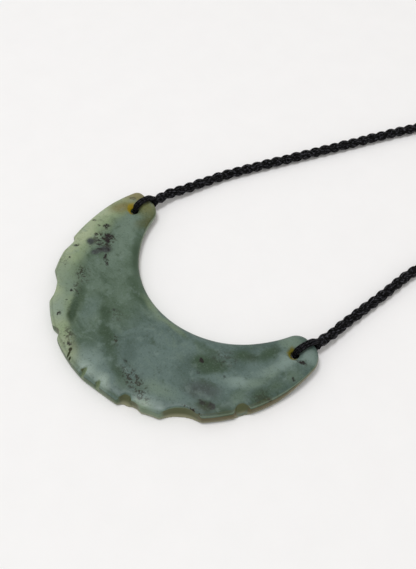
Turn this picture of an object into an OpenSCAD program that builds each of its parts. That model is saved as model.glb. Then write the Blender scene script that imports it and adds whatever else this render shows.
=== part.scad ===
/* [Stone] */
// Width of the crescent across its widest part
stone_w = 95.4; // [94.8:0.1:96]
// Height of the crescent, from its lowest rim to the ends of its horns
stone_h = 60.7; // [60.2:0.1:61.2]
// Thickness of the stone in the middle of the band
stone_t = 4.8; // [4.5:0.1:4.9]
// Width of the band of stone under the bay
band_w = 33.4; // [32:0.2:35]
// Width of the left horn across its end, before its corners are rounded
left_horn_w = 11.8; // [11.5:0.1:12.5]
// Width of the right horn across its end, before its corners are rounded
right_horn_w = 11.1; // [11:0.1:12]
// Radius of the outer corner of the left horn
left_corner_r = 2.8; // [1.5:0.1:4]
// Radius of the outer corner of the right horn
right_corner_r = 6.3; // [4:0.1:6.4]
// Radius of the inner corner of both horns
inner_corner_r = 4.3; // [2:0.1:4.4]

/* [Rounded edges] */
// Height of the face where it meets the side wall
rim_t = 3; // [2.4:0.1:3.6]
// Width of the rounding along the outer rim
outer_round = 6; // [3:0.2:8]
// Width of the rounding along the bay
inner_round = 4.5; // [3:0.1:6]
// Width of the rounding at the ends of the horns
end_round = 3; // [2:0.1:4]
// Height of the rounding along the foot
foot_t = 0.8; // [0.4:0.1:1.2]
// Width of the rounding along the foot
foot_in = 0.9; // [0.4:0.1:1]

/* [Holes] */
// Distance of each hole's centre from the end of its horn
hole_back = 7.05; // [6.8:0.05:7.3]
// Diameter of the holes for the cord
hole_d = 3.3; // [3.2:0.1:3.8]
// Diameter of the dished mouth of each hole
dish_d = 5; // [4.4:0.1:5.4]
// Depth of the dish on the face
dish_t = 0.85; // [0.6:0.05:1]

/* [Cord] */
// Diameter of the plaited cord
cord_d = 3.8; // [3.6:0.1:4]
// Diameter of the bundle of threads in each hole
loop_d = 1.7; // [1.4:0.1:1.7]
// Diameter of the clasp behind the neck
clasp_d = 6.4; // [6.2:0.1:7]
// Length of the clasp
clasp_l = 14; // [12:0.5:14]

/* [Hidden] */

// The crescent lies between a rim circle and a bay circle, and ends at two level horns.
// The rounding of the horns' ends would reach its full depth a little past the stone's end.
// Its origin is the middle of its outline, on the surface that it lies on.
end_flat = 0.1;
horn_y = stone_h / 2 + end_flat;
rim_r = stone_w / 2;
rim_y = rim_r - stone_h / 2;
rim_end = acos((rim_y - horn_y) / rim_r);
bay_half = rim_r * sin(rim_end) - (left_horn_w + right_horn_w) / 2;
bay_sag = stone_h - band_w;
bay_r = (pow(bay_half, 2) + pow(bay_sag, 2)) / (2 * bay_sag);
bay_x = (left_horn_w - right_horn_w) / 2;
bay_y = band_w - stone_h / 2 + bay_r;
bay_end = acos((bay_y - horn_y) / bay_r);

// The horns curve up off the surface, so that the cord passes under them.
lift_start_y = 8;
lift_end_y = 22;
lift_foot = 2;
lift_wall = 1.7;
lift_rim = 0.9;
lift_face = 0.1;

hole_y = horn_y - hole_back;
rim_at_hole = sqrt(pow(rim_r, 2) - pow(hole_y - rim_y, 2));
bay_at_hole = sqrt(pow(bay_r, 2) - pow(bay_y - hole_y, 2));
left_hole = [(bay_x - rim_at_hole - bay_at_hole) / 2, hole_y];
right_hole = [(bay_x + rim_at_hole + bay_at_hole) / 2, hole_y];
under_dish_t = 0.6;

// Notches in the outer rim. Places and reaches are degrees round the rim, from straight down.
// place, reach to the left, reach to the right, depth, fullness on the left, fullness on the right,
// share of the depth that is left at the foot
notches = [
    [-66.9, 2.5, 6.0, 1.6, 3.0, 1.4, 0.86],
    [-44.6, 6.4, 8.6, 2.1, 1.5, 3.5, 0.86],
    [-20.6, 3.6, 3.0, 1.6, 1.3, 1.6, 0.86],
    [ 10.4, 8.5, 8.0, 0.5, 1.8, 1.8, 0.95],
    [ 21.5, 2.3, 3.2, 3.1, 2.8, 3.6, 0.5],
    [ 24.8, 3.2, 4.6, 1.7, 2.0, 1.8, 0.95],
    [ 30.5, 6.0, 5.5, 0.7, 2.0, 2.0, 0.86],
    [ 44.2, 8.6, 6.8, 3.2, 2.7, 1.9, 0.7],
    [ 66.2, 3.2, 2.8, 2.7, 2.6, 3.5, 0.27],
];

// Small cuts filed across the edge of the lowest rim.
// place in degrees, half width in degrees at the rim, length towards the bay, depth at the rim
nicks = [
    [-8.6, 0.5, 2.6, 1.2],
    [ 1.5, 1.0, 3.2, 1.5],
    [ 9.6, 0.8, 3.0, 1.3],
];

// Shares of a section, from the rim to the bay, at which the face has a row of points
face_steps = [0, 0.015, 0.05, 0.1, 0.17, 0.27, 0.4, 0.55, 0.7, 0.8, 0.88, 0.94, 0.98, 1];
// Steps between sections in degrees round the rim, and the most that a horn reaches from straight down
station_step = 4;
station_last = 100;
notch_steps = [-1.02, -1, -0.93, -0.8, -0.6, -0.3, 0, 0.3, 0.6, 0.8, 0.93, 1, 1.02];
nick_steps = [-1, 0, 1];
end_steps = [end_flat, 0.5, 1.3, 2.4, 4];
least_step = 0.3;
// The least share of a nick's width that is left at its tip
nick_tip = 0.01;

// Cord routes along the middle of the cord, in millimetres. Each begins at a horn and ends at the clasp.
cord_clear_z = cord_d / 2;
left_route = [
    [-39, 32.2, 3.4], [-38.7, 38.3, 2.8], [-37, 44.4, 2.4], [-35.2, 51.9, 2.1],
    [-32.8, 60.3, cord_clear_z], [-29.4, 69.1, cord_clear_z], [-25.3, 79, cord_clear_z],
    [-21.5, 88, cord_clear_z], [-17.5, 97.5, cord_clear_z], [-13.5, 107, cord_clear_z],
    [-9.4, 117, cord_clear_z], [-5.5, 126, cord_clear_z], [-1, 136, cord_clear_z],
    [3.5, 147, cord_clear_z], [8.5, 160, cord_clear_z], [14.5, 173, cord_clear_z],
    [18.2, 181.2, cord_clear_z], [21.5, 189.3, cord_clear_z], [25.6, 196.5, 2.1], [31.5, 201.4, 2.8],
];
right_route = [
    [41.3, 32.1, 3.4], [41.5, 38.7, 2.7], [41.3, 44.6, 2.3], [41.3, 50.6, 2], [41.4, 56.8, cord_clear_z],
    [41.6, 63, cord_clear_z], [41.5, 71, cord_clear_z], [42, 79.5, cord_clear_z],
    [44, 89, cord_clear_z], [47.5, 100, cord_clear_z], [52, 112, cord_clear_z],
    [56.5, 124, cord_clear_z], [60.5, 136, cord_clear_z], [64.5, 148, cord_clear_z],
    [68, 160, cord_clear_z], [70.5, 171.5, cord_clear_z], [71.3, 182, cord_clear_z],
    [70.2, 191.3, cord_clear_z], [65.3, 201.1, 2.1], [58, 205.6, 2.7],
];

// The clasp's middle, and the turn of its length from the X axis
clasp_at = [44, 204.5, clasp_d / 2];
clasp_turn = 10;
socket_d = cord_d + 0.3;
socket_t = 3.5;
socket_gap = 0.3;
socket_run = 1.5;

// Thread routes from over the horn, down the hole and back under the horn.
// Each point is X and Y from the hole's centre, and the height above the surface.
left_threads = [
    [0, 7.4, 5.25], [-0.2, 6.4, 5.65], [-0.4, 4.8, 5.85], [-0.4, 3.2, 5.9], [-0.3, 2.0, 5.7],
    [-0.25, 1.05, 5.05], [-0.3, 0.6, 4.1], [-0.3, 0.6, 3.2], [-0.3, 0.65, 2.4], [-0.2, 1.2, 1.5],
    [0, 2.3, 1.0], [0, 4.2, 0.95], [0.1, 6.2, 0.95], [0.2, 7.7, 1.15],
];
right_threads = [
    [1.1, 7.4, 5.25], [0.9, 6.4, 5.65], [0.6, 4.8, 5.85], [0.4, 3.2, 5.9], [0.2, 2.0, 5.7],
    [-0.1, 1.05, 5.05], [-0.3, 0.6, 4.1], [-0.3, 0.6, 3.2], [-0.3, 0.65, 2.4], [-0.1, 1.2, 1.5],
    [0.3, 2.3, 1.0], [0.6, 4.2, 0.95], [1.0, 6.2, 0.95], [1.3, 7.6, 1.15],
];
thread_spread = 0.9;
thread_run = 0.8;
tube_sides = 8;
bore_sides = 64;
clasp_sides = 48;
clasp_edge = 0.6;
tiny = 0.000001;

stone_colour = [0.42, 0.52, 0.46];
thread_colour = [0.08, 0.08, 0.09];
clasp_colour = [0.62, 0.62, 0.63];

function unit(v) = v / norm(v);
function clamp01(x) = min(max(x, 0), 1);
function rounded(x) = x < tiny ? 0 : sqrt(1 - pow(1 - clamp01(x), 2));
function smooth(x) = let (s = clamp01(x)) s * s * (3 - 2 * s);
function sorted(v) = len(v) < 2 ? v : let (m = v[floor(len(v) / 2)])
    concat(sorted([for (x = v) if (x < m) x]), [m], sorted([for (x = v) if (x > m) x]));
function thinned(v, i = 1, last = 0) = i >= len(v) ? [v[last]] : v[i] - v[last] < least_step
    ? thinned(v, i + 1, last)
    : concat([v[last]], thinned(v, i + 1, i));

// How far the notches cut in at an angle round the rim, on the face or at the foot
function notch_side(s, side, fullness) = abs(s) >= side ? 0 : 1 - pow(abs(s) / side, fullness);
function notch_depth(a, at_foot) = max([for (n = notches) let (s = a - n[0])
    (at_foot ? n[6] : 1) * n[3] * notch_side(s, s < 0 ? n[1] : n[2], s < 0 ? n[4] : n[5])]);

// How far a corner of radius r stands back at a distance d from the end of a horn
function corner_in(d, r) = d >= r ? 0 : r - sqrt(pow(r, 2) - pow(r - max(d, 0), 2));

function lift(y) = smooth((y - lift_start_y) / (lift_end_y - lift_start_y));
function from_rim(p) = rim_r - norm([p[0], p[1] - rim_y]);
function from_bay(p) = norm([p[0] - bay_x, p[1] - bay_y]) - bay_r;
function round_angle(p) = atan2(p[0], rim_y - p[1]);
function nick_depth(p) = max([for (n = nicks) let (along = clamp01(1 - from_rim(p) / n[2]))
    n[3] * along * clamp01(1 - abs(round_angle(p) - n[0]) / (n[1] * max(along, nick_tip)))]);

function rim_z(p) = rim_t + lift_rim * lift(p[1]);
function crown_z(p) = stone_t + lift_face * lift(p[1]);
function face_z(p) = rim_z(p) - nick_depth(p) + (crown_z(p) - rim_z(p)) * rounded(from_rim(p) / outer_round)
    * rounded(from_bay(p) / inner_round) * rounded((horn_y - p[1]) / end_round);
function foot_z(p) = lift_foot * lift(p[1]);
function wall_z(p) = foot_t + lift_wall * lift(p[1]);

// The two ends of a section, with its notch and its rounded corners
function rim_point(a, in) = [0, rim_y] + (rim_r - in) * [sin(a), -cos(a)];
function bay_point(a) = [bay_x, bay_y] + bay_r * [sin(a * bay_end / rim_end), -cos(a * bay_end / rim_end)];
function outer_end(a, at_foot) = let (
    p = rim_point(a, notch_depth(a, at_foot)),
    r = a < 0 ? left_corner_r : right_corner_r
) p + corner_in(horn_y - p[1], r) * unit(bay_point(a) - p);
function inner_end(a) = let (p = bay_point(a))
    p + corner_in(horn_y - p[1], inner_corner_r) * unit(rim_point(a, 0) - p);

// One closed section of the stone: the face from rim to bay, then the wall, the foot and the underside
function section(a) = let (
    o = outer_end(a, false),
    low = outer_end(a, true),
    i = inner_end(a),
    across = unit(i - low),
    foot_o = low + foot_in * across,
    foot_i = i - foot_in * across,
    mid = (foot_o + foot_i) / 2
) concat(
    [for (f = face_steps) let (p = o + f * (i - o)) [p[0], p[1], face_z(p)]],
    [[i[0], i[1], wall_z(i)], [foot_i[0], foot_i[1], foot_z(foot_i)], [mid[0], mid[1], foot_z(mid)]],
    [[foot_o[0], foot_o[1], foot_z(foot_o)], [low[0], low[1], wall_z(low)]]
);

// Angles at which the stone has a section: even steps, more at the notches, nicks and horn ends
function end_angle(d) = acos((rim_y - horn_y + d) / rim_r);
stations = thinned(sorted(concat(
    [for (a = [-station_last:station_step:station_last]) a],
    [for (n = notches, s = notch_steps) n[0] + s * (s < 0 ? n[1] : n[2])],
    [for (n = nicks, s = nick_steps) n[0] + s * n[1]],
    [for (d = end_steps, side = [-1, 1]) side * end_angle(d)]
)));

// Triangles between rings of equally many points, closed by a flat face at each end
module rings(list) {
    n = len(list[0]);
    last = len(list) - 1;
    points = [for (ring = list, p = ring) p];
    sides = [for (k = [0:last - 1], j = [0:n - 1]) let (a = k * n + j, b = k * n + (j + 1) % n)
        each [[a, b, a + n], [b, b + n, a + n]]];
    first_face = [for (j = [n - 1:-1:0]) j];
    last_face = [for (j = [0:n - 1]) last * n + j];
    polyhedron(points, concat(sides, [first_face, last_face]), convexity = 8);
}

// A round tube along a route. Its rings stand square to the route, turned from a given direction.
function heading(route, k) = unit(route[min(k + 1, len(route) - 1)] - route[max(k - 1, 0)]);
module tube(route, d, from) {
    rings([for (k = [0:len(route) - 1]) let (
        along = heading(route, k),
        u = unit(cross(along, from)),
        v = cross(along, u)
    ) [for (j = [0:tube_sides - 1]) let (a = -360 * (j + 0.5) / tube_sides)
        route[k] + d / 2 * (cos(a) * u + sin(a) * v)]]);
}

// The threads leave the cord's first face side by side, one above the other
module threads(route, cord, hole) {
    along = unit(cord[1] - cord[0]);
    up = cross(unit(cross(along, [0, 0, 1])), along);
    over = cord[0] + thread_spread * up;
    under = cord[0] - thread_spread * up;
    middle = [for (p = route) [hole[0] + p[0], hole[1] + p[1], p[2]]];
    whole = concat([over, over - thread_run * along], middle, [under - thread_run * along, under]);
    tube(whole, loop_d, [1, 0, 0]);
}

function clasp_dir() = [cos(clasp_turn), sin(clasp_turn), 0];
function into_clasp(side) = [
    clasp_at + side * (clasp_l / 2 + socket_run) * clasp_dir(),
    clasp_at + side * (clasp_l / 2 - socket_t + socket_gap) * clasp_dir()
];
left_line = concat(left_route, into_clasp(-1));
right_line = concat(right_route, into_clasp(1));

// The hole with its dished mouths, as one turned shape. Each dish keeps its slope past the face.
module bore() {
    face = stone_t + lift_face;
    rotate_extrude($fn = bore_sides) polygon([
        [0, lift_foot - under_dish_t], [dish_d - hole_d / 2, lift_foot - under_dish_t],
        [hole_d / 2, lift_foot + under_dish_t], [hole_d / 2, face - dish_t],
        [dish_d - hole_d / 2, face + dish_t], [0, face + dish_t]
    ]);
}

module breastplate() {
    color(stone_colour) difference() {
        rings([for (a = stations) section(a)]);
        for (hole = [left_hole, right_hole]) translate([hole[0], hole[1], 0]) bore();
    }
}

module left_hole_loop() {
    color(thread_colour) threads(left_threads, left_line, left_hole);
}

module right_hole_loop() {
    color(thread_colour) threads(right_threads, right_line, right_hole);
}

module left_cord() {
    color(thread_colour) tube(left_line, cord_d, [0, 0, 1]);
}

module right_cord() {
    color(thread_colour) tube(right_line, cord_d, [0, 0, 1]);
}

module back_clasp() {
    half = clasp_l / 2;
    color(clasp_colour) translate(clasp_at) rotate([0, 0, clasp_turn]) rotate([0, 90, 0])
        rotate_extrude($fn = clasp_sides) polygon([
            [0, -half + socket_t], [socket_d / 2, -half + socket_t], [socket_d / 2, -half],
            [clasp_d / 2 - clasp_edge, -half], [clasp_d / 2, -half + clasp_edge],
            [clasp_d / 2, half - clasp_edge], [clasp_d / 2 - clasp_edge, half],
            [socket_d / 2, half], [socket_d / 2, half - socket_t], [0, half - socket_t]
        ]);
}

breastplate();
left_hole_loop();
right_hole_loop();
left_cord();
right_cord();
back_clasp();
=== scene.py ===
import math
import bpy
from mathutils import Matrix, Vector


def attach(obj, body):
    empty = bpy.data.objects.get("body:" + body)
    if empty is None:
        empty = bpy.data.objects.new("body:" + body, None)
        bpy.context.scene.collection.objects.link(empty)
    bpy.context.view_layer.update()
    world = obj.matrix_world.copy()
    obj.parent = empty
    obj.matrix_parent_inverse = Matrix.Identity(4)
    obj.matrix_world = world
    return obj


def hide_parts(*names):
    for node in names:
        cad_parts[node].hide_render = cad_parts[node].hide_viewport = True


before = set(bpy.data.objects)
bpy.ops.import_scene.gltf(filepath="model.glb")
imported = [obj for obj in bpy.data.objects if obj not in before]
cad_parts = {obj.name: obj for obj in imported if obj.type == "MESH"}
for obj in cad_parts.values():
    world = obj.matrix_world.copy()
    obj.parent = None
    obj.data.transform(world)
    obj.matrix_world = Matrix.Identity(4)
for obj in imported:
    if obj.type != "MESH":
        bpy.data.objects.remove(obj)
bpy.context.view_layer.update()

MM = 0.001

# The stone, in millimetres, as the breastplate is cut in the part's source.
stone_w = 95.4
stone_h = 60.7
stone_t = 4.8
band_w = 33.4
left_horn_w = 11.8
right_horn_w = 11.1
rim_t = 3.0
foot_t = 0.8
foot_in = 0.9
notch_top = 4.0
rim_shoulder = 6.0
bay_shoulder = 3.4
end_shoulder = 3.0
left_outer_r = 2.8
right_outer_r = 7.0
left_inner_r = 5.6
right_inner_r = 4.8
horn_y = stone_h / 2 + 0.1
rim_r = stone_w / 2
rim_y = rim_r - stone_h / 2
rim_end = math.acos((rim_y - horn_y) / rim_r)
bay_half = rim_r * math.sin(rim_end) - (left_horn_w + right_horn_w) / 2
bay_sag = stone_h - band_w
bay_r = (bay_half ** 2 + bay_sag ** 2) / (2 * bay_sag)
bay_x = (left_horn_w - right_horn_w) / 2
bay_y = band_w - stone_h / 2 + bay_r
hole_y = 23.4
rim_at_hole = math.sqrt(rim_r ** 2 - (hole_y - rim_y) ** 2)
bay_at_hole = math.sqrt(bay_r ** 2 - (bay_y - hole_y) ** 2)
left_hole = (bay_x - rim_at_hole - bay_at_hole) / 2
right_hole = (bay_x + rim_at_hole + bay_at_hole) / 2

# The horns leave the surface from this height of the crescent on, over this way, by this much at
# their underside, and lose this share of their thickness.
lift_from = 8.0
lift_over = 14.0
horn_lift = 2.0
horn_thinning = 0.396

# The cutting tools reach from below the stone to above it, and stand a little clear of its foot.
below = -1
above = stone_t + 2
clear = 0.4

# Notches filed in the rim: place in degrees round the rim from straight down, reach to the left
# and to the right in degrees, depth, how full the notch is on its left and its right, and the
# share of its depth that is left at the foot.
notches = [
    (-66.9, 2.5, 6.0, 1.6, 3.0, 1.4, 0.86),
    (-44.6, 6.4, 8.6, 2.1, 1.5, 3.5, 0.86),
    (-20.6, 3.6, 3.0, 1.6, 1.3, 1.6, 0.86),
    (10.4, 8.5, 8.0, 0.5, 1.8, 1.8, 0.95),
    (21.5, 2.3, 3.2, 3.1, 2.8, 3.6, 0.5),
    (24.8, 3.2, 4.6, 1.7, 2.0, 1.8, 0.95),
    (30.5, 6.0, 5.5, 0.7, 2.0, 2.0, 0.86),
    (44.2, 8.6, 6.8, 3.2, 2.7, 1.9, 0.7),
    (66.2, 3.2, 2.8, 2.7, 2.6, 3.5, 0.27),
]
# Small cuts across the edge: place in degrees, half width, length and depth.
nicks = [
    (-8.6, 0.3, 2.6, 1.2),
    (1.5, 1.1, 3.6, 1.6),
    (9.6, 0.9, 3.0, 1.5),
]
# The drilled holes, from below up: radius and height.
hole_rings = [(1.4, -1), (1.4, 3.3), (1.6, 3.6), (2.05, 4.05), (2.45, 4.5), (2.6, 4.85), (2.7, 6)]

# The plait: the way in which its strands change places once round, how far they sway and rise, and
# the radius of each.
plait_pitch = 11.5
plait_sway = 0.74
plait_rise = 0.5
strand_r = 1.0

# The threads of a loop: the radius of each, and each one's place across and above the middle.
thread_r = 0.42
thread_places = [(-0.78, 0.24), (0.0, 0.42), (0.78, 0.24), (-0.42, -0.36), (0.42, -0.36)]

# The clasp: its middle, its turn in degrees, and half of its outline as radius and distance from
# the middle, from the bottom of the socket outwards and back to the groove.
clasp_at = (44, 204.5, 3.2)
clasp_turn = 10
clasp_half = [
    (2.05, 3.5),
    (2.05, 7.0),
    (2.5, 7.0),
    (2.95, 6.8),
    (3.2, 6.4),
    (3.2, 5.4),
    (2.98, 5.25),
    (2.98, 4.95),
    (3.14, 4.8),
    (3.14, 0.4),
    (2.96, 0.25),
]


def at_mm(x, y, z):
    """A place given in millimetres, in metres."""
    return Vector((x, y, z)) * MM


def deselect():
    """Leaves nothing selected, in object mode."""
    if bpy.context.mode != "OBJECT":
        bpy.ops.object.mode_set(mode="OBJECT")
    bpy.ops.object.select_all(action="DESELECT")


def take(piece):
    """Selects one piece alone."""
    deselect()
    piece.select_set(True)
    bpy.context.view_layer.objects.active = piece


def turn_to(piece, aim):
    """Turns a camera or a lamp towards a place, in millimetres."""
    look = at_mm(*aim) - piece.location
    piece.rotation_euler = look.to_track_quat("-Z", "Y").to_euler()


def settle(piece):
    """Puts the piece's place, turn and size into its mesh."""
    take(piece)
    bpy.ops.object.transform_apply(location=True, rotation=True, scale=True)


def outward(piece):
    """Merges doubled points and turns every face outwards."""
    take(piece)
    bpy.ops.object.mode_set(mode="EDIT")
    bpy.ops.mesh.select_all(action="SELECT")
    bpy.ops.mesh.remove_doubles(threshold=0.000001)
    bpy.ops.mesh.normals_make_consistent(inside=False)
    bpy.ops.object.mode_set(mode="OBJECT")


def add_change(piece, kind, **settings):
    """Adds a modifier, sets it and applies it."""
    take(piece)
    bpy.ops.object.modifier_add(type=kind)
    change = piece.modifiers[-1]
    for name, value in settings.items():
        setattr(change, name, value)
    bpy.ops.object.modifier_apply(modifier=change.name)


def cut(piece, tool):
    """Cuts the tool's shape out of the piece and puts the tool away."""
    add_change(piece, "BOOLEAN", operation="DIFFERENCE", object=tool, solver="MANIFOLD")
    bpy.data.objects.remove(tool, do_unlink=True)


def turned(name, middle, rings, sides):
    """A piece turned on a lathe: rings of radius and height, from the foot up."""
    deselect()
    radius, height = rings[0]
    bpy.ops.mesh.primitive_circle_add(
        vertices=sides,
        radius=radius * MM,
        fill_type="NGON",
        location=at_mm(middle[0], middle[1], height),
    )
    piece = bpy.context.object
    piece.name = name
    settle(piece)
    bpy.ops.object.mode_set(mode="EDIT")
    bpy.ops.mesh.select_all(action="SELECT")
    for next_radius, next_height in rings[1:]:
        rise = (0, 0, (next_height - height) * MM)
        bpy.ops.mesh.extrude_region_move(TRANSFORM_OT_translate={"value": rise})
        wider = next_radius / radius
        bpy.ops.transform.resize(
            value=(wider, wider, 1), center_override=at_mm(middle[0], middle[1], next_height)
        )
        radius, height = next_radius, next_height
    bpy.ops.object.mode_set(mode="OBJECT")
    outward(piece)
    return piece


def flat_face(name, corners):
    """A flat face with these corners, in millimetres."""
    deselect()
    bpy.ops.mesh.primitive_circle_add(vertices=len(corners), radius=MM, fill_type="NGON")
    piece = bpy.context.object
    piece.name = name
    for point, corner in zip(piece.data.vertices, corners):
        point.co = at_mm(*corner)
    return piece


def on_rim(degrees, inside):
    """A place round the rim, some way inside it."""
    turn = math.radians(degrees)
    return math.sin(turn) * (rim_r - inside), rim_y - math.cos(turn) * (rim_r - inside)


def quarter(width, steps):
    """Steps over a rounded shoulder: how far in, and how far up from the rim's height."""
    rise = stone_t - rim_t
    turns = [math.radians(90 * i / steps) for i in range(steps + 1)]
    return [(width * (1 - math.cos(t)), rim_t + rise * math.sin(t)) for t in turns]


def foot(steps=5):
    """Steps round the foot: how far in, and the height."""
    turns = [math.radians(90 * i / steps) for i in range(steps)]
    return [(foot_in * (1 - math.sin(t)), foot_t * (1 - math.cos(t))) for t in turns]


def stone_blank():
    """The round blank that the crescent is cut from, with its shoulder turned."""
    rings = [(rim_r - inside, up) for inside, up in foot()]
    rings.append((rim_r, foot_t))
    rings += [(rim_r - inside, up) for inside, up in quarter(rim_shoulder, 14)]
    return turned("crescent", (0, rim_y), rings, 360)


def bay_cutter():
    """Cuts the bay, with its own shoulder and foot."""
    rings = [(bay_r + foot_in + clear, below)]
    rings += [(bay_r + inside, up) for inside, up in foot()]
    rings.append((bay_r, foot_t))
    rings += [(bay_r + inside, up) for inside, up in quarter(bay_shoulder, 12)]
    rings.append((bay_r + bay_shoulder + 0.6, above))
    return turned("bay_cutter", (bay_x, bay_y), rings, 300)


def end_cutter():
    """Cuts both horns off level, and rounds their ends."""
    far = horn_y + 40
    half_wide = 60
    edge = [(far, below), (horn_y - foot_in - clear, below)]
    edge += [(horn_y - inside, up) for inside, up in foot()]
    edge.append((horn_y, foot_t))
    edge += [(horn_y - inside, up) for inside, up in quarter(end_shoulder, 10)]
    edge += [(horn_y - end_shoulder - clear, above), (far, above)]
    piece = flat_face("end_cutter", [(-half_wide, y, z) for y, z in edge])
    take(piece)
    bpy.ops.object.mode_set(mode="EDIT")
    bpy.ops.mesh.select_all(action="SELECT")
    bpy.ops.mesh.extrude_region_move(TRANSFORM_OT_translate={"value": (2 * half_wide * MM, 0, 0)})
    bpy.ops.object.mode_set(mode="OBJECT")
    outward(piece)
    return piece


def corner_cutter(middle, radius, first, last):
    """Rounds one corner of a horn, from the first direction to the last, in degrees."""
    width = min(end_shoulder, radius * 0.85)
    far = radius + 7
    top = stone_t + 1 + 0.4 * (stone_t - rim_t)
    edge = [(far, below), (radius - foot_in - clear, below)]
    edge += [(radius - inside, up) for inside, up in foot()]
    edge.append((radius, foot_t))
    edge += [(radius - inside, up) for inside, up in quarter(width, 10)]
    edge += [(radius - width - 0.2, top), (far, top)]
    turn = math.radians(first)
    across = (math.cos(turn), math.sin(turn))
    corners = [(middle[0] + r * across[0], middle[1] + r * across[1], z) for r, z in edge]
    piece = flat_face("corner_cutter", corners)
    take(piece)
    bpy.ops.object.mode_set(mode="EDIT")
    bpy.ops.mesh.select_all(action="SELECT")
    bpy.ops.mesh.spin(
        steps=24,
        angle=-math.radians(last - first),
        center=at_mm(middle[0], middle[1], 0),
        axis=(0, 0, 1),
    )
    bpy.ops.object.mode_set(mode="OBJECT")
    outward(piece)
    return piece


def round_corner(stone, side, radius, outer):
    """Rounds the outer or the inner corner of the horn on one side."""
    level = horn_y - radius
    if outer:
        middle = (side * math.sqrt((rim_r - radius) ** 2 - (level - rim_y) ** 2), level)
        reach = math.degrees(math.atan2(level - rim_y, middle[0]))
    else:
        middle = (bay_x + side * math.sqrt((bay_r + radius) ** 2 - (bay_y - level) ** 2), level)
        reach = math.degrees(math.atan2(bay_y - level, bay_x - middle[0]))
    first, last = min(reach, 90), max(reach, 90)
    cut(stone, corner_cutter(middle, radius, first - 1, last + 1))


def notch_cutter(place, left, right, depth, full_left, full_right, foot_share):
    """A file as wide and as full as one notch, held slanting so that it cuts less at the foot."""
    columns = 24
    top = 6
    back = -4.0
    edge = []
    for i in range(columns + 1):
        side = -1 + 2 * i / columns
        reach = left if side < 0 else right
        full = full_left if side < 0 else full_right
        edge.append((place + side * reach, depth * (1 - abs(side) ** full)))
    edge[0] = (edge[0][0] - 0.6, -clear)
    edge[-1] = (edge[-1][0] + 0.6, -clear)
    edge += [(degrees, back) for degrees, inside in reversed(edge)]
    slant = (1 - foot_share) / (notch_top - foot_t)

    def outline(height):
        """The file's outline at one height."""
        share = foot_share + slant * (height - foot_t)
        return [on_rim(degrees, inside * share if inside > 0 else inside) for degrees, inside in edge]

    low, high = outline(below), outline(top)
    piece = flat_face("notch_cutter", [(x, y, below) for x, y in low])
    take(piece)
    bpy.ops.object.mode_set(mode="EDIT")
    bpy.ops.mesh.select_all(action="SELECT")
    bpy.ops.mesh.extrude_region_move(TRANSFORM_OT_translate={"value": (0, 0, (top - below) * MM)})
    bpy.ops.object.mode_set(mode="OBJECT")
    for point in [point for point in piece.data.vertices if point.co.z > 0]:
        under = min(range(len(low)), key=lambda i: (Vector(low[i]) * MM - point.co.xy).length)
        point.co.x = high[under][0] * MM
        point.co.y = high[under][1] * MM
    outward(piece)
    return piece


def nick_cutter(place, half, length, depth):
    """A three-cornered file laid across the rim, which runs out towards the bay."""
    turn = math.radians(place)
    out = Vector((math.sin(turn), -math.cos(turn), 0))
    across = Vector((math.cos(turn), math.sin(turn), 0))
    rim = Vector((0, rim_y, 0)) + out * rim_r
    far = rim + out * 2
    tip = rim - out * length - across * 0.6
    over = stone_t + 0.6
    kept_wide = 0.07
    face = rim_t + (stone_t - rim_t) * math.sqrt(1 - (1 - min(length / rim_shoulder, 1)) ** 2)
    slope = (face - rim_t + depth) / length
    deep = Vector((0, 0, rim_t - depth - 2 * slope))
    high = Vector((0, 0, over))
    wide = across * half * (over - rim_t + depth) / depth
    corners = [far + deep, far + wide + high, far - wide + high]
    piece = flat_face("nick_cutter", [tuple(corner) for corner in corners])
    take(piece)
    bpy.ops.object.mode_set(mode="EDIT")
    bpy.ops.mesh.select_all(action="SELECT")
    bpy.ops.mesh.extrude_region_move(TRANSFORM_OT_translate={"value": (tip - far) * MM})
    bpy.ops.object.mode_set(mode="OBJECT")
    for point in piece.data.vertices:
        if (point.co.xy - tip.xy * MM).length < (point.co.xy - far.xy * MM).length:
            point.co = point.co.lerp((tip + Vector((0, 0, face))) * MM, 1 - kept_wide)
    outward(piece)
    return piece


def hole_cutter(x):
    """Drills a hole and dishes its mouth on the face."""
    return turned("hole_cutter", (x, hole_y), hole_rings, 48)


def lifted(y):
    """How far the horns have left the surface, from 0 at the band to 1 at the ends."""
    share = min(max((y - lift_from) / lift_over, 0), 1)
    return share * share * (3 - 2 * share)


def make_breastplate():
    """The crescent of greenstone."""
    stone = stone_blank()
    cut(stone, bay_cutter())
    cut(stone, end_cutter())
    round_corner(stone, -1, left_outer_r, True)
    round_corner(stone, 1, right_outer_r, True)
    round_corner(stone, -1, left_inner_r, False)
    round_corner(stone, 1, right_inner_r, False)
    for notch in notches:
        cut(stone, notch_cutter(*notch))
    for nick in nicks:
        cut(stone, nick_cutter(*nick))
    for x in (left_hole, right_hole):
        cut(stone, hole_cutter(x))
    add_change(stone, "REMESH", mode="VOXEL", voxel_size=0.3 * MM, use_smooth_shade=True)
    add_change(stone, "SMOOTH", factor=0.5, iterations=5)
    for point in stone.data.vertices:
        rise = lifted(point.co.y / MM)
        point.co.z += rise * (horn_lift * MM - horn_thinning * point.co.z)
    settle(stone)
    stone.data.shade_smooth()
    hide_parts("breastplate")
    return stone


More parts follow.
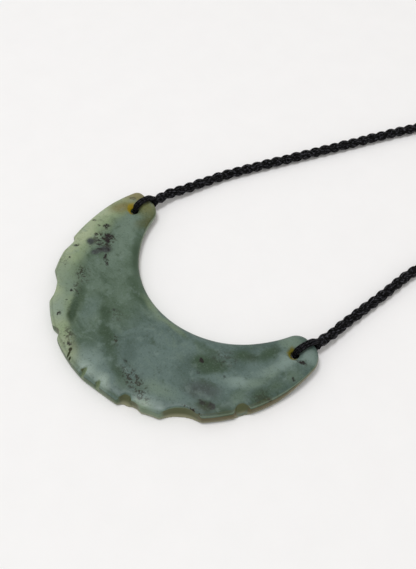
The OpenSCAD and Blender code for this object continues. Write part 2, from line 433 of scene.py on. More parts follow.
def smooth_line(points, step):
    """Points at even steps along a smooth curve through the given points, in millimetres."""
    pieces = 40
    places = [Vector(p) for p in points]
    places = [places[0] * 2 - places[1]] + places + [places[-1] * 2 - places[-2]]
    fine = []
    for before, start, end, after in zip(places, places[1:], places[2:], places[3:]):
        for i in range(pieces):
            t = i / pieces
            fine.append(
                0.5
                * (
                    2 * start
                    + (end - before) * t
                    + (2 * before - 5 * start + 4 * end - after) * t * t
                    + (3 * start - before - 3 * end + after) * t * t * t
                )
            )
    fine.append(places[-2])
    run = [0.0]
    for start, end in zip(fine, fine[1:]):
        run.append(run[-1] + (end - start).length)
    count = max(2, round(run[-1] / step))
    line = []
    j = 0
    for i in range(count + 1):
        want = run[-1] * i / count
        while j < len(run) - 2 and run[j + 1] < want:
            j += 1
        share = (want - run[j]) / max(run[j + 1] - run[j], 1e-9)
        line.append(fine[j].lerp(fine[j + 1], share))
    return line, run[-1]


def sideways(line):
    """The level direction across the line and the one above it, at each of its points."""
    sides, ups = [], []
    side = None
    for i in range(len(line)):
        ahead = line[min(i + 1, len(line) - 1)] - line[max(i - 1, 0)]
        ahead.normalize()
        if side is None:
            side = ahead.cross(Vector((0, 0, 1)))
        side = side - ahead * side.dot(ahead)
        side.normalize()
        sides.append(side.copy())
        ups.append(side.cross(ahead).normalized())
    return sides, ups


def swept(name, runs, radius, lobes, lobe_depth, lay, around):
    """Round threads along their own lines, closed at both ends, with a map along and round each."""
    points, faces, maps = [], [], []
    for line in runs:
        sides, ups = sideways(line)
        first = len(points)
        along = 0.0
        lengths = []
        for i, place in enumerate(line):
            if i:
                along += (place - line[i - 1]).length
            lengths.append(along)
            for j in range(around):
                turn = 2 * math.pi * j / around
                wide = radius + lobe_depth * math.cos(lobes * turn + along * lay)
                offset = sides[i] * math.cos(turn) + ups[i] * math.sin(turn)
                points.append((place + offset * wide) * MM)
        for i in range(len(line) - 1):
            for j in range(around):
                k = (j + 1) % around
                a = first + i * around
                b = a + around
                faces.append((a + j, b + j, b + k, a + k))
                low, high = j / around, (j + 1) / around
                maps += [
                    (lengths[i], low),
                    (lengths[i + 1], low),
                    (lengths[i + 1], high),
                    (lengths[i], high),
                ]
        last = first + (len(line) - 1) * around
        faces.append(tuple(first + j for j in range(around)))
        faces.append(tuple(last + j for j in reversed(range(around))))
        maps += [(0.0, j / around) for j in range(around)]
        maps += [(along, j / around) for j in reversed(range(around))]
    mesh = bpy.data.meshes.new(name)
    mesh.from_pydata(points, [], faces)
    layer = mesh.uv_layers.new(name="UVMap")
    for corner, place in zip(layer.data, maps):
        corner.uv = place
    mesh.validate()
    piece = bpy.data.objects.new(name, mesh)
    bpy.context.collection.objects.link(piece)
    outward(piece)
    mesh.shade_smooth()
    return piece


def plait(name, route):
    """Three waxed strands plaited flat along the route."""
    line, length = smooth_line(route, 0.55)
    for step in range(2):
        line.insert(0, line[0] * 2 - line[1])
    sides, ups = sideways(line)
    strands = []
    for strand in range(3):
        path = []
        for i, place in enumerate(line):
            turn = 2 * math.pi * (length * i / (len(line) - 1) / plait_pitch + strand / 3)
            sway = sides[i] * plait_sway * math.sin(turn)
            path.append(place + sway + ups[i] * plait_rise * math.sin(2 * turn))
        strands.append(path)
    piece = swept(name, strands, strand_r, lobes=5, lobe_depth=0.12, lay=0.9, around=30)
    middle, length = smooth_line(route, 3.0)
    return piece, [point * MM for point in middle], length


def thread_loop(name, route):
    """A bundle of five threads that goes over the horn, down the hole and back under it."""
    line, length = smooth_line(route, 0.35)
    sides, ups = sideways(line)
    threads = []
    for across, up in thread_places:
        path = []
        for i, place in enumerate(line):
            drawn_in = 1 - 0.3 * min(max(5.4 - place.z, 0), 1)
            path.append(place + (sides[i] * across + ups[i] * up) * drawn_in)
        threads.append(path)
    return swept(name, threads, thread_r, lobes=4, lobe_depth=0.03, lay=2.0, around=14)


def make_clasp():
    """A turned barrel with a collar at each end, a groove round its middle and a socket in each end."""
    rings = [(radius, -height) for radius, height in clasp_half] + clasp_half[::-1]
    clasp = turned("clasp", (0, 0), rings, 72)
    clasp.rotation_euler = (0, math.radians(90), math.radians(clasp_turn))
    clasp.location = at_mm(*clasp_at)
    settle(clasp)
    add_change(clasp, "BEVEL", width=0.06 * MM, segments=2, limit_method="ANGLE")
    clasp.data.shade_smooth()
    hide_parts("back_clasp")
    return clasp


def put(tree, kind, inputs=None, **settings):
    """Adds a node, sets it, and joins or fills its inputs."""
    node = tree.nodes.new("ShaderNode" + kind)
    for name, value in settings.items():
        setattr(node, name, value)
    for name, value in (inputs or {}).items():
        if isinstance(value, bpy.types.NodeSocket):
            tree.links.new(value, node.inputs[name])
        else:
            node.inputs[name].default_value = value
    return node


def tint(red, green, blue):
    """A colour as it looks on a screen, from 0 to 255, turned into light."""
    return tuple(((c / 255 + 0.055) / 1.055) ** 2.4 for c in (red, green, blue)) + (1.0,)


def seen(red, green, blue):
    """The stone's own colour, for a colour seen under these lamps with their soft shine on it."""
    return tuple(max(c - 0.024, 0.001) / 1.02 for c in tint(red, green, blue)[:3]) + (1.0,)


def new_finish(name):
    """A material with an empty board and its output."""
    finish = bpy.data.materials.new(name)
    finish.use_nodes = True
    finish.node_tree.nodes.clear()
    out = put(finish.node_tree, "OutputMaterial")
    return finish, finish.node_tree, out


def give(piece, finish):
    """Gives the piece its one finish."""
    piece.data.materials.clear()
    piece.data.materials.append(finish)


def blend_in(tree, under, over, share):
    """Lays one colour over another by a share."""
    node = put(tree, "Mix", {0: share, 6: under, 7: over}, data_type="RGBA", blend_type="MIX")
    return node.outputs[2]


def times(tree, a, b):
    """Two numbers multiplied."""
    return put(tree, "Math", {0: a, 1: b}, operation="MULTIPLY").outputs[0]


def ramp(tree, value, low, high, to_low=0.0, to_high=1.0):
    """A number carried smoothly from one range to another."""
    inputs = {"Value": value, "From Min": low, "From Max": high, "To Min": to_low, "To Max": to_high}
    node = put(tree, "MapRange", inputs, interpolation_type="SMOOTHSTEP")
    return node.outputs["Result"]


def grain(tree, place, scale, detail=3.0, rough=0.55):
    """Cloudy noise, so many clouds to the millimetre."""
    inputs = {"Vector": place, "Scale": scale, "Detail": detail, "Roughness": rough}
    return put(tree, "TexNoise", inputs).outputs["Fac"]


def wander(tree, place, scale, reach):
    """Places pushed about by noise, so that a patch gets a ragged outline."""
    noise = put(tree, "TexNoise", {"Vector": place, "Scale": scale, "Detail": 2.0})
    middle = put(tree, "VectorMath", {0: noise.outputs["Color"], 1: (0.5, 0.5, 0.5)}, operation="SUBTRACT")
    push = put(tree, "VectorMath", {0: middle.outputs[0], "Scale": reach}, operation="SCALE")
    moved = put(tree, "VectorMath", {0: place, 1: push.outputs[0]}, operation="ADD")
    return put(tree, "Mapping", {"Vector": moved.outputs[0]}).outputs[0]


def patch(tree, place, x, y, half_x, half_y, turn, core=0.2):
    """An oval patch, 1 in its core and 0 at its edge."""
    inputs = {
        "Vector": place,
        "Location": (x, y, 0),
        "Rotation": (0, 0, math.radians(turn)),
        "Scale": (half_x, half_y, 1000),
    }
    local = put(tree, "Mapping", inputs, vector_type="TEXTURE")
    near = put(tree, "TexGradient", {"Vector": local.outputs[0]}, gradient_type="SPHERICAL")
    return ramp(tree, near.outputs["Fac"], 0.0, 1.0 - core)


# The stone's tones, by name.
tones = {
    "sage": seen(164, 175, 145),
    "leaf": seen(140, 156, 124),
    "pale": seen(144, 160, 150),
    "ice": seen(126, 143, 136),
    "mist": seen(114, 131, 118),
    "grey": seen(101, 118, 104),
    "steel": seen(101, 118, 113),
    "slate": seen(83, 99, 93),
    "green": seen(85, 102, 86),
    "moss": seen(68, 84, 68),
    "dark": seen(54, 65, 46),
    "smoke": seen(70, 74, 73),
    "olive": seen(114, 117, 80),
    "mustard": seen(108, 104, 50),
    "tan": seen(134, 127, 92),
    "rust": seen(92, 90, 54),
}

# Broad clouds: tone, middle, half sizes, turn in degrees and share.
clouds = [
    ("mist", -35, 17, 6, 11, 28, 0.8),
    ("mist", -28, 8, 6, 9, 40, 0.7),
    ("sage", -46.5, 16, 3.4, 5, -10, 0.8),
    ("sage", -43.5, 3, 6, 7, 0, 1.0),
    ("olive", -44, 21, 6, 6.5, 0, 0.9),
    ("tan", -43, 29, 12, 6.5, 0, 0.95),
    ("mustard", -42.6, 22.6, 3.6, 3.2, 0, 0.7),
    ("olive", -37, 27, 8, 6, 0, 0.8),
    ("rust", -31.5, 24.5, 3.5, 8, -14, 0.75),
    ("green", -22, 8, 7, 4, 50, 0.5),
    ("mist", -28.2, -13, 5, 7, 45, 0.7),
    ("mist", -34, -11, 6, 7, 40, 0.5),
    ("ice", -23.5, -21, 5, 9, 50, 0.55),
    ("green", -31, -6, 4, 5, 40, 0.5),
    ("moss", -23.5, -13, 8, 2.6, -42, 0.75),
    ("dark", -18.3, -19, 6, 2.4, -48, 0.95),
    ("leaf", -15.5, -25.2, 4.5, 3.6, -30, 0.8),
    ("moss", -17.5, -8.3, 3.8, 2.2, -20, 0.6),
    ("steel", -15.5, -14.5, 4.5, 8, 40, 0.5),
    ("moss", -12, 1.8, 12, 2.4, -14, 0.6),
    ("grey", -14, -2.5, 9, 3.4, -16, 0.7),
    ("moss", -11, -11.3, 5.5, 2.6, -25, 0.9),
    ("green", -7, -7.5, 5.5, 3.4, -30, 0.7),
    ("moss", -6, -14.8, 6.5, 3.8, -35, 0.95),
    ("moss", -1.5, -17.6, 7.5, 3.6, -25, 0.8),
    ("slate", 3.8, -13.6, 7.5, 5, -30, 0.85),
    ("steel", -0.6, -9.6, 5, 1.5, 68, 0.9),
    ("slate", 5, -8, 5, 4, 0, 0.6),
    ("moss", 3.6, -19.8, 6, 3.6, -20, 0.6),
    ("moss", 9, -21.3, 6, 3.2, -10, 0.8),
    ("steel", 14.5, -8.6, 8, 3.4, -40, 0.9),
    ("steel", 15.5, -14.5, 8, 3.8, -36, 0.7),
    ("olive", -9.5, -25.3, 6, 3, -28, 0.2),
    ("ice", 0, -25.2, 9, 4.2, -8, 0.85),
    ("pale", 1.5, -27.8, 7, 2.6, 0, 0.95),
    ("pale", 8.6, -27.2, 4.5, 2.8, -20, 1.0),
    ("green", 13.4, -23, 4, 3, 0, 0.6),
    ("ice", 22.5, -22.6, 8.5, 4.6, 20, 0.9),
    ("leaf", 22, -23.6, 5, 2.6, 30, 0.4),
    ("mist", 21.5, -16.6, 10, 4.4, 30, 0.85),
    ("slate", 22.5, -5.5, 9, 6, -30, 0.85),
    ("moss", 19, 3.6, 5, 2.2, 14, 0.6),
    ("moss", 23.5, 0.8, 5.5, 4, 20, 0.9),
    ("moss", 27, -1, 5, 3, 40, 0.85),
    ("dark", 27.3, 3.6, 5.5, 3.4, 40, 0.5),
    ("slate", 31.5, 7, 5, 4, 40, 0.9),
    ("moss", 29.6, 10.5, 5, 4, 50, 0.95),
    ("dark", 32.3, 12.8, 3, 2.4, 50, 0.6),
    ("moss", 34.6, 17, 3, 5.4, -25, 0.9),
    ("smoke", 30.5, -6.6, 7.5, 4.4, 30, 0.75),
    ("dark", 35.2, -9.6, 4.6, 3.0, 20, 0.95),
    ("moss", 39.5, -6, 4.4, 3.4, 20, 0.85),
    ("ice", 35.6, 3.2, 3.2, 6.5, -40, 1.0),
    ("steel", 36, 9.7, 3.6, 6, -20, 0.85),
    ("mist", 38.8, 7, 2.8, 6, -10, 0.75),
    ("grey", 39.5, 0, 3.5, 5, 12, 0.7),
    ("mist", 39, 13.6, 3, 5, 0, 0.85),
    ("ice", 39.6, 20, 3.6, 4.4, 10, 0.95),
    ("moss", 43.4, 5, 3.8, 6, 10, 0.95),
    ("green", 43, 11, 3, 4, 0, 0.7),
    ("grey", 44.4, 17.5, 4, 5.5, 0, 0.7),
    ("mist", 36, 25.6, 5.5, 5.5, -25, 0.95),
    ("ice", 43, 25.2, 5, 4, 0, 0.9),
    ("tan", -44.6, 20.5, 4, 4.5, 0, 0.6),
    ("leaf", -3, 1.6, 10, 2, -8, 0.45),
    ("leaf", 6.5, 2, 9, 2, 6, 0.4),
]

# Smudges with a firmer outline, in the same columns.
smudges = [
    ("smoke", -38.1, 3.4, 2.5, 2.3, 0, 1.0),
    ("smoke", -32.2, 4.8, 3.6, 2.1, 48, 1.0),
    ("smoke", -33.4, 1.8, 2.4, 1.6, 48, 0.95),
    ("moss", -19.8, -17.0, 8.5, 1.9, -45, 0.85),
    ("ice", 39.4, 15, 10, 2.2, 74, 0.6),
    ("ice", 40.6, 20.4, 4, 2.0, 60, 0.7),
    ("moss", -12.4, -10.6, 2.4, 2.0, 0, 0.6),
    ("moss", 23, -0.6, 4.4, 3.6, 30, 0.9),
    ("moss", 27.6, 2.2, 5, 3.2, 45, 0.9),
    ("moss", 22.4, 4.6, 3.4, 2.2, 20, 0.6),
    ("dark", 34.6, -9.4, 3.4, 2.0, 20, 0.6),
    ("mist", 36.4, 25.4, 4, 3.4, -25, 0.6),
    ("grey", 0.6, 0, 5, 2, 0, 0.5),
    ("dark", 34.4, 20.4, 2.4, 1.7, 20, 0.35),
]

# Ochre stains in the dishes: middle, half sizes and colour.
stains = [
    (-40.7, 22.9, 3.0, 1.8, seen(146, 128, 20)),
    (39.3, 22.9, 3.0, 2.2, seen(116, 110, 52)),
]
stain_turn = -41

# Fields of fine specks: middle, half sizes, turn in degrees and share.
fields = [
    (-35.6, 7.6, 5.4, 4.4, 20, 1.0),
    (-28.5, -7, 5.0, 3.2, -30, 0.75),
    (-25, -12, 4.0, 2.0, -40, 0.6),
    (-38, -8, 3.0, 3.0, 0, 0.3),
    (-12, -25.4, 5.0, 3.0, -32, 0.65),
    (-8, -9, 4.0, 3.0, 0, 0.35),
    (14.5, -20, 9.5, 3.6, -8, 0.75),
    (20, -21.4, 4.0, 2.6, 0, 0.6),
    (34, -13.4, 5.4, 1.3, 14, 1.0),
    (27, 6, 6.0, 4.0, 30, 0.4),
    (44, 5, 3.0, 4.0, 0, 0.4),
    (-1, -15, 3.0, 1.8, -20, 0.8),
]

# Single dark spots, in the same columns.
spots = [
    (-40.0, 11.6, 1.7, 1.2, 48, 1.0),
    (-39.2, 10.8, 0.8, 0.7, 0, 0.9),
    (-45.2, 10.3, 1.0, 0.6, 30, 0.85),
    (-42, 9.8, 0.7, 0.5, 0, 0.8),
    (-35.4, 9.2, 2.2, 1.9, 48, 1.0),
    (-34.4, 7.8, 1.5, 1.1, 0, 1.0),
    (-33.0, 6.8, 1.5, 0.7, 20, 0.95),
    (-31.6, 5.4, 1.3, 0.7, 20, 0.9),
    (-39.5, 6.5, 1.0, 0.8, 0, 0.9),
    (-38.2, 7.6, 0.7, 0.5, 0, 0.8),
    (-36.9, 5.4, 1.6, 0.8, 30, 0.8),
    (-35.4, 4.6, 1.2, 0.8, 40, 0.8),
    (-33.2, 3.8, 1.8, 0.6, 48, 0.8),
    (-29.6, 3.0, 1.8, 0.7, -48, 0.95),
    (-28.0, 2.6, 0.9, 0.5, 20, 0.8),
    (-26.9, 1.5, 1.6, 0.7, -20, 0.95),
    (-40.0, -1.1, 0.7, 1.3, -30, 1.0),
    (-37.4, -6, 0.8, 0.6, 0, 0.85),
    (-36, -8.8, 0.5, 0.5, 0, 0.6),
    (-25.8, -13.7, 0.7, 0.5, 0, 0.9),
    (-23.6, -17.3, 0.6, 0.5, 0, 0.7),
    (-21.1, -22.1, 1.0, 0.8, 20, 1.0),
    (-10.4, -8.2, 0.8, 0.6, 0, 0.7),
    (-9.6, -26.6, 1.1, 0.8, 0, 0.85),
    (7.2, -17.6, 1.0, 0.6, 0, 0.6),
    (22.5, 0.2, 1.3, 0.9, -20, 1.0),
    (25.2, -3.4, 0.9, 0.6, 0, 0.5),
    (36.3, -8.2, 1.9, 1.5, 20, 0.8),
    (33.7, -9.4, 1.6, 1.1, 20, 0.75),
    (31.4, 1.4, 0.8, 0.6, 0, 0.6),
    (43.9, 22.8, 1.9, 0.9, 20, 1.0),
    (42.2, 22.2, 1.2, 0.5, 10, 0.6),
    (45.9, 16.8, 1.0, 0.6, -30, 0.8),
    (46.1, 6.6, 1.2, 0.8, 40, 0.9),
    (-44, 26.4, 1.8, 1.1, 20, 0.6),
]

# A fine crack at the rim, and a chip beside it: middle and half sizes.
crack = [(-6.9, -28.8, 1.6, 0.5), (-7.7, -27.5, 0.9, 0.8), (-5.5, -29.5, 0.8, 0.5)]
crack_turn = -66

# Painted shade inside the two short cuts in the lowest rim: middle, half sizes and turn in degrees.
short_cut_shade = [(1.45, -29.6, 1.0, 2.6, 17), (7.9, -28.9, 0.9, 2.1, 31)]


def in_mm(tree, spot):
    """The object's own places, in millimetres."""
    scale = {"Vector": spot.outputs["Object"], "Scale": (1000, 1000, 1000)}
    return put(tree, "Mapping", scale).outputs[0]


def coordinate(tree, place, axis):
    """One coordinate of a place."""
    return put(tree, "SeparateXYZ", {0: place}).outputs[axis]


def way_from(tree, place, x, y):
    """How far a place is from a middle, seen from above."""
    centred = put(tree, "Mapping", {"Vector": place, "Location": (-x, -y, 0), "Scale": (1, 1, 0)})
    return put(tree, "VectorMath", {0: centred.outputs[0]}, operation="LENGTH").outputs["Value"]


def laid_over(tree, colour, place, rows, core):
    """Lays a table of toned patches over a colour, one after another."""
    for tone, x, y, half_x, half_y, turn, share in rows:
        over = times(tree, patch(tree, place, x, y, half_x, half_y, turn, core), share)
        colour = blend_in(tree, colour, tones[tone], over)
    return colour


def covered(tree, place, rows, core):
    """How far a table of patches covers a place, from 0 to 1."""
    mask = 0.0
    for x, y, half_x, half_y, turn, share in rows:
        area = times(tree, patch(tree, place, x, y, half_x, half_y, turn, core), share)
        mask = put(tree, "Math", {0: mask, 1: area}, operation="MAXIMUM").outputs[0]
    return mask


def stone_ground(tree, loose, across):
    """The ground of the stone: greener on the left, bluer on the right, veined, with a pale rim that is
    partly painted light.
    """
    misty = ramp(tree, grain(tree, loose, 0.1), 0.38, 0.62)
    leafy = blend_in(tree, tones["green"], tones["grey"], misty)
    bluish = blend_in(tree, tones["slate"], tones["steel"], misty)
    colour = blend_in(tree, leafy, bluish, ramp(tree, across, -14.0, 6.0))
    slanting = {"Vector": loose, "Rotation": (0, 0, math.radians(30)), "Scale": (0.35, 1.0, 1.0)}
    veins = grain(tree, put(tree, "Mapping", slanting).outputs[0], 0.3, 4.0, 0.6)
    colour = blend_in(tree, colour, tones["moss"], ramp(tree, veins, 0.53, 0.7, 0.0, 0.6))
    colour = blend_in(tree, colour, tones["mist"], ramp(tree, veins, 0.45, 0.3, 0.0, 0.45))

    # The rim on the left is paler: partly the thinner stone's own tone, partly painted light where the
    # rounded rim faces the lamp
    from_middle = way_from(tree, loose, 0, rim_y)
    leftward = ramp(tree, across, -12.0, -24.0)
    rim_band = ramp(tree, from_middle, rim_r - 11.0, rim_r - 5.0, 0.0, 0.9)
    colour = blend_in(tree, colour, tones["leaf"], times(tree, rim_band, leftward))
    farther = ramp(tree, across, 2.0, -8.0)
    rim_edge = ramp(tree, from_middle, rim_r - 6.5, rim_r - 1.5, 0.0, 0.7)
    return blend_in(tree, colour, tones["sage"], times(tree, rim_edge, farther))


def mottling(tree, colour, loose, near):
    """Dark mottles and pale wisps inside the clouds, and fine crumbs of both."""
    mottled = grain(tree, loose, 0.45, 5.0, 0.7)
    colour = blend_in(tree, colour, tones["dark"], ramp(tree, mottled, 0.53, 0.74, 0.0, 0.45))
    wisps = grain(tree, loose, 0.32, 3.0, 0.5)
    colour = blend_in(tree, colour, tones["ice"], ramp(tree, wisps, 0.44, 0.26, 0.0, 0.35))
    crumbs = grain(tree, near, 1.5, 3.0, 0.7)
    colour = blend_in(tree, colour, tones["dark"], ramp(tree, crumbs, 0.52, 0.7, 0.0, 0.3))
    return blend_in(tree, colour, tones["ice"], ramp(tree, crumbs, 0.46, 0.3, 0.0, 0.22))


def bay_bevel_shade(tree, colour, place, across):
    """Painted shade on the bevel along the bay, on the left below the horn, where the bevel faces away
    from the lamp.
    """
    bevel = ramp(tree, way_from(tree, place, bay_x, bay_y), bay_r + 3.2, bay_r + 1.2)
    left = ramp(tree, across, -6.0, -22.0, 0.0, 0.75)
    below_horn = times(tree, left, ramp(tree, coordinate(tree, place, "Y"), 23.0, 13.0, 0.2, 1.0))
    return blend_in(tree, colour, tones["moss"], times(tree, bevel, below_horn))


def small_marks(tree, colour, place, near):
    """The stains in the dishes, the specks, the spots and the crack."""
    for x, y, half_x, half_y, shade in stains:
        stained = patch(tree, near, x, y, half_x, half_y, stain_turn, 0.5)
        colour = blend_in(tree, colour, shade, stained)
    dots = ramp(tree, grain(tree, near, 1.0, 2.0, 0.6), 0.5, 0.57)
    speckled = times(tree, covered(tree, near, fields, 0.4), dots)
    colour = blend_in(tree, colour, seen(54, 50, 36), speckled)
    broken = ramp(tree, grain(tree, place, 1.4, 2.0, 0.5), 0.36, 0.52, 0.4, 1.0)
    spotted = times(tree, covered(tree, near, spots, 0.45), broken)
    colour = blend_in(tree, colour, seen(48, 42, 31), spotted)
    for x, y, half_x, half_y in crack:
        cracked = patch(tree, place, x, y, half_x, half_y, crack_turn, 0.5)
        colour = blend_in(tree, colour, seen(56, 58, 34), cracked)
    return colour


def stone_wall(tree, colour, place, steep, across):
    """The wall, darker than the face, partly as painted shade: dark green on the left, warm olive on the
    right, with painted shade of its own in the notches.
    """
    level = put(tree, "Math", {0: steep}, operation="ABSOLUTE").outputs[0]
    wall = ramp(tree, level, 0.6, 0.2, 0.0, 0.9)
    upward = coordinate(tree, place, "Y")
    lift = ramp(tree, upward, lift_from, lift_from + lift_over, 0.0, horn_lift)
    raised = coordinate(tree, place, "Z")
    height = put(tree, "Math", {0: raised, 1: lift}, operation="SUBTRACT").outputs[0]
    to_rim = way_from(tree, place, 0, rim_y)
    # Painted shade on the walls inside the notches
    notch_shade = times(tree, ramp(tree, to_rim, rim_r - 0.5, rim_r - 1.3), ramp(tree, height, 4.2, 3.7))
    notch_shade = times(tree, notch_shade, ramp(tree, to_rim, rim_r - 4.4, rim_r - 3.4))
    notch_shade = times(tree, notch_shade, ramp(tree, height, 0.0, 0.4))
    notch_shade = times(tree, notch_shade, ramp(tree, upward, 9.0, 6.0))
    wall = put(tree, "Math", {0: wall, 1: notch_shade}, operation="MAXIMUM").outputs[0]
    shade = blend_in(tree, seen(76, 92, 66), seen(112, 130, 106), ramp(tree, across, 14.0, 20.0))
    shade = blend_in(tree, shade, seen(98, 89, 58), ramp(tree, across, 28.0, 38.0))
    shade = blend_in(tree, shade, seen(90, 95, 68), notch_shade)

    # The rounded foot catches light from the paper
    warmer = ramp(tree, across, 4.0, 18.0)
    lit_foot = blend_in(tree, seen(150, 168, 142), seen(158, 156, 130), warmer)
    shade = blend_in(tree, shade, lit_foot, ramp(tree, height, 2.2, 0.4, 0.0, 0.8))
    colour = blend_in(tree, colour, shade, wall)
    # Painted shade inside the two short cuts in the lowest rim
    for x, y, half_x, half_y, turn in short_cut_shade:
        cut_shade = patch(tree, place, x, y, half_x, half_y, turn, 0.6)
        colour = blend_in(tree, colour, seen(112, 126, 98), cut_shade)

    # A painted highlight along the shoulder on the right
    edge_highlight = times(tree, ramp(tree, steep, 0.88, 0.76), ramp(tree, steep, 0.54, 0.68))
    rightward = ramp(tree, across, 22.0, 34.0, 0.0, 0.4)
    on_right = times(tree, rightward, ramp(tree, to_rim, rim_r - 1.5, rim_r - 0.8))
    return blend_in(tree, colour, seen(140, 150, 124), times(tree, edge_highlight, on_right))


def greenstone():
    """Polished greenstone: cloudy grey green, with brown specks and a paler rim, and painted light and
    shade on its rim, bevel and walls.
    """
    finish, tree, out = new_finish("greenstone")
    spot = put(tree, "TexCoord")
    place = in_mm(tree, spot)
    loose = wander(tree, place, 0.11, 5.0)
    near = wander(tree, place, 0.8, 1.3)
    across = coordinate(tree, place, "X")
    steep = coordinate(tree, spot.outputs["Normal"], "Z")
    colour = stone_ground(tree, loose, across)
    colour = laid_over(tree, colour, loose, clouds, 0.15)
    colour = laid_over(tree, colour, near, smudges, 0.3)
    colour = mottling(tree, colour, loose, near)
    colour = bay_bevel_shade(tree, colour, place, across)
    colour = small_marks(tree, colour, place, near)
    colour = stone_wall(tree, colour, place, steep, across)

    shine = ramp(tree, grain(tree, place, 0.5), 0.3, 0.7, 0.34, 0.46)
    swell = {"Strength": 0.5, "Distance": 0.00012, "Height": grain(tree, place, 0.16)}
    swell = put(tree, "Bump", swell).outputs[0]
    rub = {"Strength": 0.25, "Distance": 0.00002, "Height": grain(tree, place, 2.2), "Normal": swell}
    dressed = put(tree, "Bump", rub)
    body = {
        "Base Color": colour,
        "Roughness": shine,
        "IOR": 1.6,
        "Specular IOR Level": 0.22,
        "Subsurface Weight": 0.2,
        "Subsurface Radius": (1.0, 1.0, 0.7),
        "Subsurface Scale": 0.0015,
        "Normal": dressed.outputs[0],
    }
    stone = put(tree, "BsdfPrincipled", body)
    tree.links.new(stone.outputs[0], out.inputs[0])
    return finish


def black_thread(name, lay):
    """Black waxed thread, with fine fibres laid along it and painted glints on them."""
    finish, tree, out = new_finish(name)
    lengthwise = put(tree, "UVMap", uv_map="UVMap").outputs[0]
    drawn_out = {"Vector": lengthwise, "Rotation": (0, 0, lay), "Scale": (1.3, 13, 1)}
    fine = grain(tree, put(tree, "Mapping", drawn_out).outputs[0], 1.0, 2.0)
    # Painted glints: where the fibre noise is high, the black is lightened to a bluish grey
    painted_glints = ramp(tree, fine, 0.52, 0.66)
    colour = blend_in(tree, tint(2, 2, 2), tint(66, 66, 72), painted_glints)
    rise = put(tree, "Bump", {"Strength": 1.0, "Distance": 0.0002, "Height": fine})
    body = {
        "Base Color": colour,
        "Roughness": 0.4,
        "Specular IOR Level": 0.05,
        "Normal": rise.outputs[0],
    }
    thread = put(tree, "BsdfPrincipled", body)
    tree.links.new(thread.outputs[0], out.inputs[0])
    return finish


def clasp_metal():
    """Plain steel, worn brighter in places."""
    finish, tree, out = new_finish("clasp_metal")
    place = in_mm(tree, put(tree, "TexCoord"))
    worn = ramp(tree, grain(tree, place, 0.8), 0.4, 0.7)
    colour = blend_in(tree, tint(150, 148, 142), tint(188, 186, 180), worn)
    body = {
        "Base Color": colour,
        "Metallic": 1.0,
        "Roughness": ramp(tree, grain(tree, place, 2.5), 0.3, 0.7, 0.25, 0.4),
    }
    steel = put(tree, "BsdfPrincipled", body)
    tree.links.new(steel.outputs[0], out.inputs[0])
    return finish


def paper():
    """The white sheet that the pendant lies on."""
    finish, tree, out = new_finish("white_paper")
    spot = put(tree, "TexCoord").outputs["Object"]
    fleck = grain(tree, spot, 90.0)
    colour = blend_in(tree, tint(243, 242, 242), tint(247, 246, 246), fleck)
    tooth = {"Strength": 0.08, "Distance": 0.0002, "Height": grain(tree, spot, 900.0)}
    rise = put(tree, "Bump", tooth).outputs[0]
    body = {"Base Color": colour, "Roughness": 0.95, "Normal": rise}
    sheet = put(tree, "BsdfPrincipled", body)
    tree.links.new(sheet.outputs[0], out.inputs[0])
    return finish


# The camera first: its place and what it looks at, in millimetres
camera_at = (134.52, -96.21, 239.59)
camera_aim = (-0.74, 23.36, 0)
camera_lens = 56.94
deselect()
bpy.ops.object.camera_add(location=at_mm(*camera_at))
camera = bpy.context.object
turn_to(camera, camera_aim)
camera.data.lens = camera_lens
camera.data.sensor_width = 36
camera.data.clip_start = 0.01
bpy.context.scene.camera = camera

# The cords, along the routes of the part's source
left_route = [
    (-39, 32.2, 3.4), (-38.7, 38.3, 2.8), (-37, 44.4, 2.4), (-35.2, 51.9, 2.1), (-32.8, 60.3, 1.9),
    (-29.4, 69.1, 1.9), (-25.3, 79, 1.9), (-21.5, 88, 1.9), (-17.5, 97.5, 1.9), (-13.5, 107, 1.9),
    (-9.4, 117, 1.9), (-5.5, 126, 1.9), (-1, 136, 1.9), (3.5, 147, 1.9), (8.5, 160, 1.9),
    (14.5, 173, 1.9), (18.2, 181.2, 1.9), (21.5, 189.3, 1.9), (25.6, 196.5, 2.1), (31.5, 201.4, 2.8),
    (35.629, 203.024, 3.2), (40.258, 203.84, 3.2),
]
right_route = [
    (41.3, 32.1, 3.4), (41.5, 38.7, 2.7), (41.3, 44.6, 2.3), (41.3, 50.6, 2), (41.4, 56.8, 1.9),
    (41.6, 63, 1.9), (41.5, 71, 1.9), (42, 79.5, 1.9), (44, 89, 1.9), (47.5, 100, 1.9),
    (52, 112, 1.9), (56.5, 124, 1.9), (60.5, 136, 1.9), (64.5, 148, 1.9), (68, 160, 1.9),
    (70.5, 171.5, 1.9), (71.3, 182, 1.9), (70.2, 191.3, 1.9), (65.3, 201.1, 2.1), (58, 205.6, 2.7),
    (52.371, 205.976, 3.2), (47.742, 205.16, 3.2),
]
left_loop_route = [
    (0, 7.4, 5.25), (-0.2, 6.4, 5.65), (-0.4, 4.8, 5.85), (-0.4, 3.2, 5.9), (-0.3, 2.0, 5.7),
    (-0.25, 1.05, 5.05), (-0.3, 0.55, 4.1), (-0.3, 0.3, 3.2), (-0.3, 0.35, 2.4), (-0.2, 1.2, 1.5),
    (0, 2.3, 1.0), (0, 4.2, 0.95), (0.1, 6.2, 0.95), (0.2, 7.7, 1.15),
]
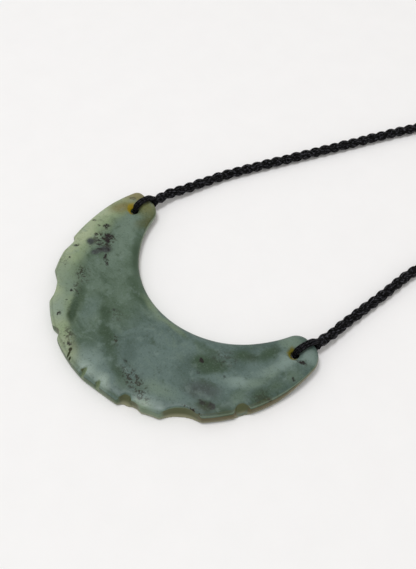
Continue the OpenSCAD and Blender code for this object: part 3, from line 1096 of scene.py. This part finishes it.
right_loop_route = [
    (1.1, 7.4, 5.25), (0.9, 6.4, 5.65), (0.6, 4.8, 5.85), (0.4, 3.2, 5.9), (0.2, 2.0, 5.7),
    (-0.1, 1.05, 5.05), (-0.3, 0.55, 4.1), (-0.3, 0.3, 3.2), (-0.3, 0.35, 2.4), (-0.1, 1.2, 1.5),
    (0.3, 2.3, 1.0), (0.6, 4.2, 0.95), (1.0, 6.2, 0.95), (1.3, 7.6, 1.15),
]


def loop_of(name, route, hole, cord):
    """The thread loop at one hole, run a little way into its cord at both ends."""
    begin, second = Vector(cord[0]), Vector(cord[1])
    ahead = (second - begin).normalized()
    over = [Vector((hole + x, hole_y + y, z)) for x, y, z in route]
    inside = begin + ahead * 1.8
    top = [inside + Vector((0, 0, 0.2)), begin + ahead * 0.6 + Vector((0, 0, 0.55))]
    low = [begin + ahead * 0.4 - Vector((0, 0, 0.8)), inside - Vector((0, 0, 0.3))]
    return thread_loop(name, top + over + low)


left_cord, left_path, left_length = plait("left_plait", left_route)
right_cord, right_path, right_length = plait("right_plait", right_route)
left_loop = loop_of("left_loop", left_loop_route, left_hole, left_route)
right_loop = loop_of("right_loop", right_loop_route, right_hole, right_route)
thread = black_thread("black_thread", 0.35)
for piece, node, slot in (
    (left_cord, "left_cord", "black_plait"),
    (right_cord, "right_cord", "black_plait"),
    (left_loop, "left_hole_loop", "black_thread"),
    (right_loop, "right_hole_loop", "black_thread"),
):
    give(piece, thread)
    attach(piece, "root")
    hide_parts(node)

clasp = make_clasp()
give(clasp, clasp_metal())
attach(clasp, "root")

breastplate = make_breastplate()
give(breastplate, greenstone())
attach(breastplate, "root")

deselect()
bpy.ops.mesh.primitive_plane_add(size=6)
floor = bpy.context.object
floor.name = "floor"
give(floor, paper())

# One soft lamp like a window, and an even sky
window_at = (-130, -160, 1150)
window_aim = (0, 20, 0)
window_size = 340
window_power = 5.0
sky_colour = (1.0, 0.985, 0.96, 1.0)
sky_strength = 0.66
deselect()
bpy.ops.object.light_add(type="AREA", location=at_mm(*window_at))
window = bpy.context.object
turn_to(window, window_aim)
window.data.size = window_size * MM
window.data.energy = window_power
window.data.color = (0.985, 1.0, 1.02)

world = bpy.data.worlds.new("studio")
bpy.context.scene.world = world
world.use_nodes = True
sky = world.node_tree.nodes["Background"]
sky.inputs["Color"].default_value = sky_colour
sky.inputs["Strength"].default_value = sky_strength
bpy.context.scene.view_settings.view_transform = "Standard"
